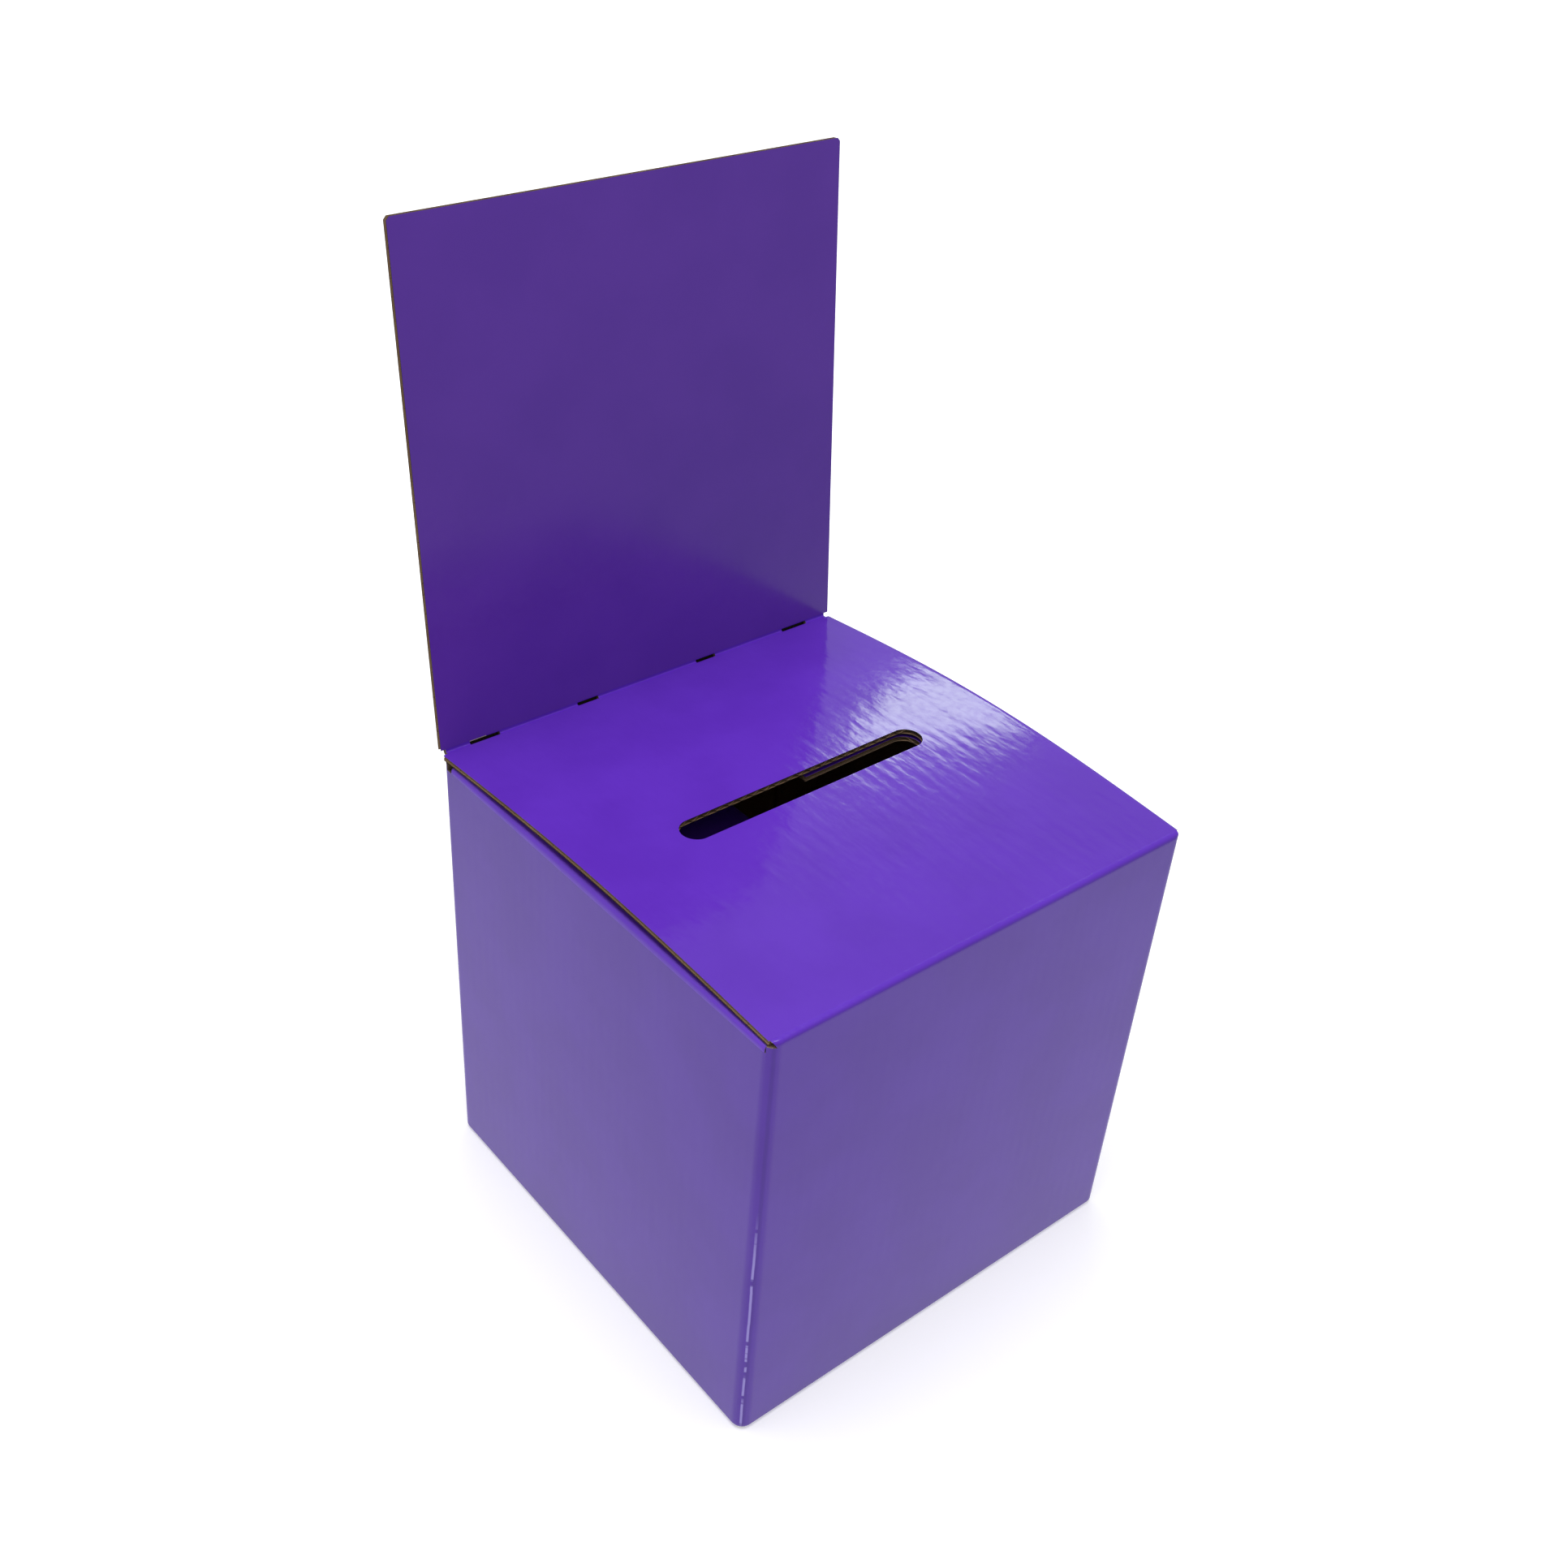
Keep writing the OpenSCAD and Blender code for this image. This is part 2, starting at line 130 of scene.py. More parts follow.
# Bottom
LAYER = BOARD + 0.0001
BOTTOM_GAP = 0.0015
SIDE_STEP = 0.006
REAR_STEP = 0.01

# Softened corners of the folded walls: radius at the top and at the base
SOFT_REACH = 0.016
SOFT_CORNERS = {
    (-1, -1): (0.0045, 0.0055),
    (1, -1): (0.0038, 0.0045),
    (-1, 1): (0.0028, 0.005),
}

# Feet of the corner folds: their height over the table, and how far they are drawn in
CORNER_FOOT = 0.0006
FOOT_DRAW = 0.85

# Meshes: columns to a flute, rows along it, and the rows and steps of a fold
PRINT_COLUMNS = 8
FLUTING_COLUMNS = 12
INNER_COLUMNS = 4
ROWS = 40
CREASE_ROWS = 16
CLIMB_ROWS = 4
FOLD_ROWS = 240
CORNER_ROWS = 260
FOLD_STEPS = 12
SMOOTH_ANGLE = 32


# Mesh tools

def deselect():
    if bpy.context.object and bpy.context.object.mode != "OBJECT":
        bpy.ops.object.mode_set(mode="OBJECT")
    bpy.ops.object.select_all(action="DESELECT")


def pick(piece):
    deselect()
    piece.select_set(True)
    bpy.context.view_layer.objects.active = piece


def reshape(piece, rule):
    """Moves every point of a mesh by a rule on arrays of x, y and z"""
    points = np.zeros(len(piece.data.vertices) * 3)
    piece.data.vertices.foreach_get("co", points)
    x, y, z = rule(*points.reshape(-1, 3).T)
    piece.data.vertices.foreach_set("co", np.stack([x, y, z], 1).ravel())
    piece.data.update()


def place(piece, matrix):
    piece.data.transform(matrix)
    piece.data.update()


def apply_modifiers(piece):
    pick(piece)
    for modifier in list(piece.modifiers):
        bpy.ops.object.modifier_apply(modifier=modifier.name)


def trim(piece, point, normal):
    """Cuts off what lies beyond a plane"""
    pick(piece)
    bpy.ops.object.mode_set(mode="EDIT")
    bpy.ops.mesh.select_all(action="SELECT")
    bpy.ops.mesh.bisect(plane_co=point, plane_no=normal, clear_outer=True)
    bpy.ops.object.mode_set(mode="OBJECT")


def thicken(piece, thickness, offset, finishes):
    """Gives a sheet its thickness, and one finish each to its face, its back and its edges"""
    piece.data.materials.clear()
    for finish in finishes:
        piece.data.materials.append(finish)
    solidify = piece.modifiers.new("thickness", "SOLIDIFY")
    solidify.thickness = thickness
    solidify.offset = offset
    solidify.material_offset = 1
    solidify.material_offset_rim = 2
    apply_modifiers(piece)


def stadium_cutter(length, width):
    """Upright cutter with round ends, centred on the origin"""
    deselect()
    bpy.ops.mesh.primitive_cylinder_add(vertices=CUTTER_SIDES, radius=width / 2, depth=CUTTER_HEIGHT)
    cutter = bpy.context.object
    reach = (length - width) / 2
    bpy.ops.object.mode_set(mode="EDIT")
    bpy.ops.mesh.select_all(action="SELECT")
    bpy.ops.mesh.bisect(plane_co=(0, 0, 0), plane_no=(1, 0, 0))
    bpy.ops.object.mode_set(mode="OBJECT")
    reshape(cutter, lambda x, y, z: (x + reach * np.sign(np.where(abs(x) < 1e-6, 0, x)), y, z))
    return cutter


def cut_away(piece, cutter):
    """Cuts a piece with a cutter, whose material the cut faces take"""
    boolean = piece.modifiers.new("cut", "BOOLEAN")
    boolean.operation = "DIFFERENCE"
    boolean.solver = "EXACT"
    boolean.material_mode = "TRANSFER"
    boolean.object = cutter
    apply_modifiers(piece)
    bpy.data.objects.remove(cutter)


def smooth(piece):
    pick(piece)
    bpy.ops.object.shade_smooth_by_angle(angle=radians(SMOOTH_ANGLE))


def turned(degrees, axis):
    return Matrix.Rotation(radians(degrees), 4, axis)


def moved(x, y, z):
    return Matrix.Translation((x, y, z))


# Materials

PRINT_BUMP = 0.6
PAPER_BUMP = 0.5
PAPER_GLOSS = 0.25


def node_tree(name):
    material = bpy.data.materials.new(name)
    material.use_nodes = True
    return material, material.node_tree.nodes, material.node_tree.links


def new_group(name, inputs, outputs):
    """Node group with plain number sockets, and its place on the piece as the first input"""
    group = bpy.data.node_groups.new(name, "ShaderNodeTree")
    group.interface.new_socket("Place", in_out="INPUT", socket_type="NodeSocketVector")
    for label, value in inputs:
        socket = group.interface.new_socket(label, in_out="INPUT", socket_type="NodeSocketFloat")
        socket.default_value = value
    for label in outputs:
        group.interface.new_socket(label, in_out="OUTPUT", socket_type="NodeSocketFloat")
    start = group.nodes.new("NodeGroupInput")
    end = group.nodes.new("NodeGroupOutput")
    return group, start, end


def math_node(nodes, links, operation, first, second=0.0, third=0.0):
    node = nodes.new("ShaderNodeMath")
    node.operation = operation
    for socket, value in zip(node.inputs, (first, second, third)):
        if hasattr(value, "is_linked"):
            links.new(value, socket)
        else:
            socket.default_value = value
    return node.outputs[0]


def noise_node(nodes, links, place_at, scale, detail, stretch=(1, 1, 1)):
    mapping = nodes.new("ShaderNodeMapping")
    mapping.inputs["Scale"].default_value = stretch
    links.new(place_at, mapping.inputs["Vector"])
    noise = nodes.new("ShaderNodeTexNoise")
    noise.inputs["Scale"].default_value = scale
    noise.inputs["Detail"].default_value = detail
    links.new(mapping.outputs[0], noise.inputs["Vector"])
    return noise.outputs["Fac"]


def spread(nodes, links, value, low, high, to_low=0.0, to_high=1.0):
    """Smooth change of a value from one range to another"""
    node = nodes.new("ShaderNodeMapRange")
    node.interpolation_type = "SMOOTHSTEP"
    node.inputs["From Min"].default_value = low
    node.inputs["From Max"].default_value = high
    node.inputs["To Min"].default_value = to_low
    node.inputs["To Max"].default_value = to_high
    links.new(value, node.inputs["Value"])
    return node.outputs["Result"]


def build_mottling():
    """Slow variation of a printed or plain paper, from 0 to 1"""
    group, start, end = new_group("paper_mottling", [], ["Broad", "Fine"])
    nodes, links = group.nodes, group.links
    place_at = start.outputs["Place"]
    broad = noise_node(nodes, links, place_at, 28, 3)
    fine = noise_node(nodes, links, place_at, 420, 2)
    links.new(spread(nodes, links, broad, 0.32, 0.68), end.inputs["Broad"])
    links.new(spread(nodes, links, fine, 0.3, 0.7), end.inputs["Fine"])
    return group


def build_fibres():
    """Paper fibres: a height, and a mask of flecks"""
    group, start, end = new_group("paper_fibres", [("Fleck Level", 0.64)], ["Height", "Flecks"])
    nodes, links = group.nodes, group.links
    place_at = start.outputs["Place"]
    along = noise_node(nodes, links, place_at, 900, 4, (1, 0.25, 0.25))
    across = noise_node(nodes, links, place_at, 700, 4, (0.25, 1, 0.3))
    flecks = noise_node(nodes, links, place_at, 1400, 1)
    height = math_node(nodes, links, "ADD", along, across)
    level = math_node(nodes, links, "SUBTRACT", flecks, start.outputs["Fleck Level"])
    links.new(height, end.inputs["Height"])
    links.new(math_node(nodes, links, "MULTIPLY", level, 12), end.inputs["Flecks"])
    return group


def build_print_relief():
    """Height of a varnished print over flutes: soft waves and fine wrinkles"""
    group, start, end = new_group("print_relief", [("Wrinkles", 0.2)], ["Height"])
    nodes, links = group.nodes, group.links
    place_at = start.outputs["Place"]
    waves = noise_node(nodes, links, place_at, 160, 2)
    wrinkles = noise_node(nodes, links, place_at, 520, 2)
    weighed = math_node(nodes, links, "MULTIPLY", wrinkles, start.outputs["Wrinkles"])
    links.new(math_node(nodes, links, "ADD", waves, weighed), end.inputs["Height"])
    return group


MOTTLING = build_mottling()
FIBRES = build_fibres()
PRINT_RELIEF = build_print_relief()


def use_group(nodes, links, group, stretch=None):
    """Places a group in a material, on the piece's own coordinates"""
    node = nodes.new("ShaderNodeGroup")
    node.node_tree = group
    coordinates = nodes.new("ShaderNodeTexCoord")
    place_at = coordinates.outputs["Object"]
    if stretch:
        mapping = nodes.new("ShaderNodeMapping")
        mapping.inputs["Scale"].default_value = stretch
        links.new(place_at, mapping.inputs["Vector"])
        place_at = mapping.outputs[0]
    links.new(place_at, node.inputs["Place"])
    return node


def mix_colours(nodes, links, share, first, second):
    node = nodes.new("ShaderNodeMix")
    node.data_type = "RGBA"
    links.new(share, node.inputs["Factor"])
    colour_inputs = [s for s in node.inputs if s.type == "RGBA"]
    for socket, value in zip(colour_inputs, (first, second)):
        if hasattr(value, "is_linked"):
            links.new(value, socket)
        else:
            socket.default_value = (*value, 1)
    return next(s for s in node.outputs if s.type == "RGBA")


def add_bump(nodes, links, shader, height, strength, distance):
    bump = nodes.new("ShaderNodeBump")
    bump.inputs["Strength"].default_value = strength
    bump.inputs["Distance"].default_value = distance
    links.new(height, bump.inputs["Height"])
    links.new(bump.outputs["Normal"], shader.inputs["Normal"])


def printed(name, deep, light, rough_low, rough_high, relief, stretch=(1, 1, 1), cracked=False):
    """Varnished purple print over paper"""
    material, nodes, links = node_tree(name)
    shader = nodes["Principled BSDF"]
    mottling = use_group(nodes, links, MOTTLING)
    colour = mix_colours(nodes, links, mottling.outputs["Broad"], deep, light)
    # The crack comes with a band of painted shade beside it
    if cracked:
        colour = add_crack_and_shade(nodes, links, colour)
    links.new(colour, shader.inputs["Base Color"])
    rough = spread(nodes, links, mottling.outputs["Fine"], 0, 1, rough_low, rough_high)
    links.new(rough, shader.inputs["Roughness"])
    waves = use_group(nodes, links, PRINT_RELIEF, stretch)
    add_bump(nodes, links, shader, waves.outputs["Height"], PRINT_BUMP, relief)
    return material


# Cracked print on the front left fold: the pale line, and beside it a darker band of painted shade
CRACK_TOP = 0.115
CRACK_HALF = 0.0006
CRACK_WANDER = 0.0016
CRACK_PALE = (0.4, 0.32, 0.85)
BAND_AT = 0.0011
BAND_CORE = 0.0003
BAND_EDGE = 0.0016
BAND_SHARE = 0.35
FOLD_SHADE_PURPLE = (0.05, 0.009, 0.27)


def add_crack_and_shade(nodes, links, colour):
    """Broken line of cracked print down the front left fold, and a band of painted shade beside it"""
    coordinates = nodes.new("ShaderNodeTexCoord")
    place_at = coordinates.outputs["Object"]
    split = nodes.new("ShaderNodeSeparateXYZ")
    links.new(place_at, split.inputs[0])
    across = math_node(nodes, links, "SUBTRACT", split.outputs["X"], split.outputs["Y"])
    wander = noise_node(nodes, links, place_at, 40, 4, (0, 0, 1))
    shift = math_node(nodes, links, "MULTIPLY_ADD", wander, CRACK_WANDER, -CRACK_WANDER / 2)
    aside = math_node(nodes, links, "ADD", across, shift)
    from_band = math_node(nodes, links, "SUBTRACT", aside, BAND_AT)
    from_band = math_node(nodes, links, "ABSOLUTE", from_band)
    shade = spread(nodes, links, from_band, BAND_CORE, BAND_EDGE, BAND_SHARE, 0)
    colour = mix_colours(nodes, links, shade, colour, FOLD_SHADE_PURPLE)
    from_line = math_node(nodes, links, "ABSOLUTE", aside)
    line = spread(nodes, links, from_line, CRACK_HALF * 0.6, CRACK_HALF * 1.5, 1, 0)
    breaks = noise_node(nodes, links, place_at, 160, 3, (0.2, 0.2, 1))
    whole = spread(nodes, links, breaks, 0.36, 0.44)
    below = spread(nodes, links, split.outputs["Z"], CRACK_TOP - 0.02, CRACK_TOP + 0.01, 1, 0)
    broken = math_node(nodes, links, "MULTIPLY", line, whole)
    mask = math_node(nodes, links, "MULTIPLY", broken, below)
    return mix_colours(nodes, links, mask, colour, CRACK_PALE)


def plain_paper(name, light, dark, fleck, relief, roughness=0.85):
    """Unprinted paper with fibres and flecks"""
    material, nodes, links = node_tree(name)
    shader = nodes["Principled BSDF"]
    mottling = use_group(nodes, links, MOTTLING)
    fibres = use_group(nodes, links, FIBRES)
    ground = mix_colours(nodes, links, mottling.outputs["Broad"], dark, light)
    masked = mix_colours(nodes, links, fibres.outputs["Flecks"], ground, fleck)
    links.new(masked, shader.inputs["Base Color"])
    shader.inputs["Roughness"].default_value = roughness
    shader.inputs["Specular IOR Level"].default_value = PAPER_GLOSS
    add_bump(nodes, links, shader, fibres.outputs["Height"], PAPER_BUMP, relief)
    return material


# Prints: deep and light purple, lowest and highest roughness, and depth of the relief
DEEP_PURPLE = (0.095, 0.018, 0.43)
LIGHT_PURPLE = (0.105, 0.022, 0.47)
PRINT = printed("purple_print", DEEP_PURPLE, LIGHT_PURPLE, 0.15, 0.22, 0.00006)
LID_PRINT = printed("lid_print", (0.1, 0.023, 0.42), (0.11, 0.027, 0.455),
                    0.1, 0.15, 0.00026, stretch=(1, 0.4, 1))
# Darker blue than the other prints: painted shade on the upright header
HEADER_SHADED_PRINT = printed("header_print", (0.1, 0.025, 0.34), (0.108, 0.028, 0.355),
                       0.16, 0.24, 0.00004)
FOLD_PRINT = printed("folded_print", DEEP_PURPLE, LIGHT_PURPLE, 0.18, 0.26, 0.00006)
# Lighter purple than the other prints: painted highlight on the rounded folds of the dust flaps
FLAP_FOLD_HIGHLIGHT_PRINT = printed("flap_fold_painted_highlight", (0.15, 0.042, 0.6), (0.17, 0.05, 0.66),
                          0.28, 0.36, 0.00001)
# Front left fold: the print's crack, and a band of painted shade beside it
CRACKED_AND_SHADED_PRINT = printed("cracked_print_and_painted_shade", DEEP_PURPLE, LIGHT_PURPLE,
                        0.16, 0.24, 0.00008, cracked=True)

# Papers: light and dark ground, flecks, and depth of the fibres
KRAFT = plain_paper("kraft_liner", (0.34, 0.22, 0.122), (0.305, 0.193, 0.105),
                    (0.16, 0.09, 0.045), 0.00005)
FLUTE = plain_paper("fluted_paper", (0.3, 0.2, 0.115), (0.24, 0.15, 0.08),
                    (0.14, 0.08, 0.04), 0.00005)
CUT_EDGE = plain_paper("cut_edge", (0.2, 0.14, 0.1), (0.13, 0.085, 0.06),
                       (0.4, 0.31, 0.22), 0.0001)
# Near-black: painted shade seen through the header's slits, on the webs behind them
SLIT_SHADE = plain_paper("slit_painted_shade", (0.03, 0.02, 0.015), (0.015, 0.01, 0.008),
                      (0.06, 0.04, 0.025), 0.0001)
DARK_EDGE = plain_paper("dark_edge", (0.07, 0.05, 0.045), (0.04, 0.028, 0.03),
                        (0.2, 0.15, 0.12), 0.0001)
# Cut edge of the lid's slot, darkened with painted shade of the slot's recess
SLOT_EDGE_SHADE = plain_paper("slot_edge_painted_shade", (0.035, 0.025, 0.02), (0.012, 0.009, 0.008),
                        (0.1, 0.07, 0.05), 0.0001)
PALE_EDGE = plain_paper("pale_edge", (0.62, 0.52, 0.45), (0.4, 0.32, 0.27),
                        (0.2, 0.14, 0.1), 0.0001)
GLUE = plain_paper("dried_glue", (0.62, 0.55, 0.42), (0.55, 0.47, 0.34),
                   (0.45, 0.36, 0.22), 0.00005, roughness=0.45)

# Finishes of a sheet's face, back and edges
PRINTED_FACES = (PRINT, KRAFT, CUT_EDGE)
PLAIN_FACES = (FLUTE, FLUTE, CUT_EDGE)
INNER_FACES = (KRAFT, KRAFT, CUT_EDGE)
FOLD_FACES = (FOLD_PRINT, KRAFT, CUT_EDGE)
LID_FOLD_FACES = (FOLD_PRINT, KRAFT, PALE_EDGE)
# Dust flap folds: lighter print, a painted highlight
FLAP_FOLD_HIGHLIGHT_FACES = (FLAP_FOLD_HIGHLIGHT_PRINT, KRAFT, CUT_EDGE)
CRACKED_AND_SHADED_FACES = (CRACKED_AND_SHADED_PRINT, KRAFT, CUT_EDGE)
# Pale lip of the first slit: painted light of the floor seen through it
LIT_LIP_FACES = (PALE_EDGE, KRAFT, PALE_EDGE)
# Webs behind the header's slits: painted shade
SLIT_SHADE_FACES = (SLIT_SHADE, SLIT_SHADE, SLIT_SHADE)


# Layers of a panel, with X across the flutes, Y along them and Z out of the print

def flute_wave(x):
    return np.cos(2 * pi * x / FLUTE_PITCH)


def sheet(name, x_range, y_range, columns, rows):
    """Open grid whose rows are packed towards its two ends"""
    deselect()
    bpy.ops.mesh.primitive_grid_add(x_subdivisions=columns, y_subdivisions=rows, size=2)
    piece = bpy.context.object
    piece.name = name
    piece.data.name = name
    (x0, x1), (y0, y1) = x_range, y_range
    reshape(piece, lambda x, y, z: (
        x0 + (x1 - x0) * (x + 1) / 2,
        y0 + (y1 - y0) * (1 - np.cos(pi * (y + 1) / 2)) / 2,
        z))
    return piece


def columns_of(x_range, per_flute):
    return round((x_range[1] - x_range[0]) / FLUTE_PITCH * per_flute)


def washboard(x, y):
    """Depth of the print between the flutes, which comes and goes along them"""
    broad = np.sin(x * 83 + 1.3) * np.sin(y * 61 + 0.4)
    narrow = np.sin(x * 210 + y * 37) * np.sin(y * 143 + x * 29)
    return (1 - flute_wave(x)) / 2 * (WASHBOARD_MEAN + WASHBOARD_SWING * (broad + narrow))


def cut_and_thicken(piece, cuts, thickness, offset, finishes):
    for point, normal in cuts:
        trim(piece, point, normal)
    thicken(piece, thickness, offset, finishes)
    return piece


def printed_liner(name, x_range, y_range, cuts=()):
    depth = LID_WASHBOARD if name.startswith("lid") else WASHBOARD
    piece = sheet(name, x_range, y_range, columns_of(x_range, PRINT_COLUMNS), ROWS)
    reshape(piece, lambda x, y, z: (x, y, z - depth * washboard(x, y)))
    return cut_and_thicken(piece, cuts, LINER, -1, PRINTED_FACES)


def fluted_paper(name, x_range, y_range, cuts=()):
    piece = sheet(name, x_range, y_range, columns_of(x_range, FLUTING_COLUMNS), ROWS // 2)
    reshape(piece, lambda x, y, z: (x, y, z - BOARD / 2 + FLUTE_HEIGHT * flute_wave(x)))
    return cut_and_thicken(piece, cuts, FLUTE_PAPER, 0, PLAIN_FACES)


def inner_liner(name, x_range, y_range, cuts=()):
    piece = sheet(name, x_range, y_range, columns_of(x_range, INNER_COLUMNS), ROWS // 2)
    reshape(piece, lambda x, y, z: (x, y, z - BOARD + LINER))
    return cut_and_thicken(piece, cuts, LINER, -1, INNER_FACES)


LAYERS = {"printed_liner": printed_liner, "fluting": fluted_paper, "inner_liner": inner_liner}

# Where the drawn panels stand on the box
ON_FRONT = moved(0, -HALF, 0) @ turned(90, "X")
ON_BACK = moved(0, HALF, 0) @ turned(180, "Z") @ turned(90, "X")
ON_LEFT = moved(-HALF, 0, 0) @ turned(-90, "Z") @ turned(90, "X")
ON_RIGHT = moved(HALF, 0, 0) @ turned(90, "Z") @ turned(90, "X")
ON_LID = moved(0, 0, LID_TOP)
ON_HEADER = Matrix.Translation(HINGE["header_fold"]) @ turned(90 - HEADER_TILT, "X")
LEFT_ROOT = moved(-FOLD_AT, 0, SIDE_TOP) @ turned(LEFT_SAG, "Y")
RIGHT_ROOT = moved(FOLD_AT, 0, SIDE_TOP) @ turned(-RIGHT_SAG, "Y")
ON_LEFT_FLAP = LEFT_ROOT @ turned(-90, "Z") @ moved(0, 0, FOLD)
ON_RIGHT_FLAP = RIGHT_ROOT @ turned(90, "Z") @ moved(0, 0, FOLD)


# Shapes that the folded board takes

def way_back(y):
    """Share of the way from the lid's front crease to its cut rear edge"""
    return np.clip((y + FOLD_AT) / (LID_CUT + FOLD_AT), 0, 1)


def arch_of(y):
    return np.sin(pi * way_back(y))


def arched(x, y, z):
    """Raises the lid between its creases, more so on its right side, and widens it a little"""
    way_right = np.clip((x + LID_SIDE) / (2 * LID_SIDE), 0, 1)
    rise = LID_ARCH_LEFT + (LID_ARCH_RIGHT - LID_ARCH_LEFT) * way_right
    edge = np.clip((x - LID_SIDE + LID_EDGE_WIDTH) / LID_EDGE_WIDTH, 0, 1)
    wider = 1 + (LID_REACH / LID_SIDE - 1) * np.where(x > 0, 1, way_back(y))
    return x * wider, y, z + rise * arch_of(y) - LID_EDGE_DROP * edge ** 2


def lifted(x, y, z):
    """Raises the root of the left dust flap, and all of the right one, towards the arched lid"""
    depth = FOLD_AT - np.abs(x)
    radius = np.hypot(depth, z - SIDE_TOP)
    on_fold = np.clip((z - SIDE_TOP) / np.maximum(radius, 1e-6), 0, 1)
    reach = np.clip(depth / FLAP_LIFT_REACH, 0, 1)
    on_flap = 1 - reach ** 2 * (3 - 2 * reach)
    height = np.where(x < 0, FLAP_LIFT, FLAP_LIFT + (FLAP_ARCH - FLAP_LIFT) * reach)
    keep = np.where(x < 0, on_flap, 1)
    share = np.where(depth < 0, on_fold, keep)
    return x, y, z + height * arch_of(y) * share


def softened(x, y, z):
    """Turns the sharp vertical folds into soft ones, with the board's thickness kept"""
    x, y = x.copy(), y.copy()
    middle = FOLD * pi / 4
    reach = SOFT_REACH - FOLD + middle
    for (side_x, side_y), (top_radius, base_radius) in SOFT_CORNERS.items():
        u = HALF - side_x * x
        v = HALF - side_y * y
        near = np.maximum(u, v) < SOFT_REACH
        near &= np.minimum(u, v) < FOLD
        u, v, height = u[near], v[near], z[near]
        du, dv = u - FOLD, v - FOLD
        turn = np.arctan2(-dv, -du)
        in_fold = (du < 0) & (dv < 0)
        along = np.where(du >= 0, du + middle, -(dv + middle))
        along = np.where(in_fold, (turn - pi / 4) * FOLD, along)
        depth = np.where(du >= 0, v, u)
        depth = np.where(in_fold, np.maximum(FOLD - np.hypot(du, dv), 0), depth)
        radius = base_radius + (top_radius - base_radius) * np.clip(height / WALL_TOP, 0, 1)
        arc = radius * pi / 4
        along = along * (SOFT_REACH - radius + arc) / reach
        angle = along / radius + pi / 4
        past = np.abs(along) > arc
        new_u = np.where(past, np.where(along > 0, radius + along - arc, depth),
                         radius - (radius - depth) * np.cos(angle))
        new_v = np.where(past, np.where(along > 0, depth, radius - along - arc),
                         radius - (radius - depth) * np.sin(angle))
        x[near] = side_x * (HALF - new_u)
        y[near] = side_y * (HALF - new_v)
    return x, y, z


def stand_for(piece, body, node):
    smooth(piece)
    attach(piece, body)
    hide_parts(node)


# Lid, header, dust flaps and walls

def build_lid():
    cuts = [((side * (LID_SIDE - LID_CORNER), LID_CUT, 0), (side, 1, 0)) for side in (-1, 1)]
    for layer, make in LAYERS.items():
        piece = make("lid_" + layer + "_arched", (-LID_SIDE, LID_SIDE), (-FOLD_AT, LID_CUT), cuts)
        cutter = stadium_cutter(SLOT_LENGTH, SLOT_WIDTH)
        place(cutter, moved(SLOT_AT.x, SLOT_AT.y, 0))
        # The slot's cut walls take the near-black finish: painted shade
        cutter.data.materials.append(SLOT_EDGE_SHADE)
        cut_away(piece, cutter)
        if layer == "printed_liner":
            piece.data.materials[0] = LID_PRINT
        place(piece, ON_LID)
        reshape(piece, arched)
        stand_for(piece, "lid", "lid_" + layer)


def build_header():
    foot_x, foot_y = HEADER_FOOT
    cuts = []
    for side in (-1, 1):
        cuts.append(((side * HEADER_SIDE, CREASE_HALF + foot_y, 0), (side * foot_y, -foot_x, 0)))
        cuts.append(((side * HEADER_SIDE, HEADER_HEIGHT - HEADER_CORNER, 0), (side, 1, 0)))
    for layer, make in LAYERS.items():
        piece = make("header_" + layer + "_standing", (-HEADER_SIDE, HEADER_SIDE),
                     (CREASE_HALF, HEADER_HEIGHT), cuts)
        piece.data.materials[2] = DARK_EDGE
        if layer == "printed_liner":
            # Darker print: painted shade on the upright header
            piece.data.materials[0] = HEADER_SHADED_PRINT
        place(piece, ON_HEADER)
        stand_for(piece, "header", "header_" + layer)


def build_flap(name, body, side, matrix):
    """Dust flap, drawn with the box's depth along X and its reach along Y"""
    x_range = sorted((side * FLAP_FRONT, side * FLAP_REAR))
    cuts = [((side * FLAP_FRONT, 0, 0), (-side, FLAP_FRONT_TAPER, 0)),
            ((side * FLAP_REAR, 0, 0), (side, FLAP_REAR_TAPER, 0))]
    for layer, make in LAYERS.items():
        piece = make(name + "_" + layer + "_sagging", x_range, (0, FLAP_REACH), cuts)
        cutter = stadium_cutter(2 * SLOT_LENGTH, SLOT_WIDTH + 2 * NOTCH_GAP)
        round_end = FOLD_AT - (SLOT_LENGTH - SLOT_WIDTH) / 2
        middle = round_end + SLOT_LENGTH - SLOT_WIDTH / 2 - NOTCH_GAP
        place(cutter, moved(side * SLOT_AT.y, middle, 0) @ turned(90, "Z"))
        cutter.data.materials.append(CUT_EDGE)
        cut_away(piece, cutter)
        place(piece, matrix)
        reshape(piece, lifted)
        stand_for(piece, body, name + "_" + layer)


WALLS = {
    "front_wall": ((-FOLD_AT, FOLD_AT), WALL_TOP, ON_FRONT),
    "left_wall": ((-FOLD_AT, FOLD_AT), SIDE_TOP, ON_LEFT),
    "right_wall": ((-FOLD_AT, RIGHT_END), SIDE_TOP, ON_RIGHT),
    "back_wall": ((-HALF, FOLD_AT), BACK_TOP, ON_BACK),
}


def build_walls():
    for name, (x_range, top, matrix) in WALLS.items():
        for layer, make in LAYERS.items():
            piece = make(name + "_" + layer + "_soft", x_range, (FOLD, top))
            place(piece, matrix)
            reshape(piece, softened)
            stand_for(piece, "box", name + "_" + layer)


# Folds

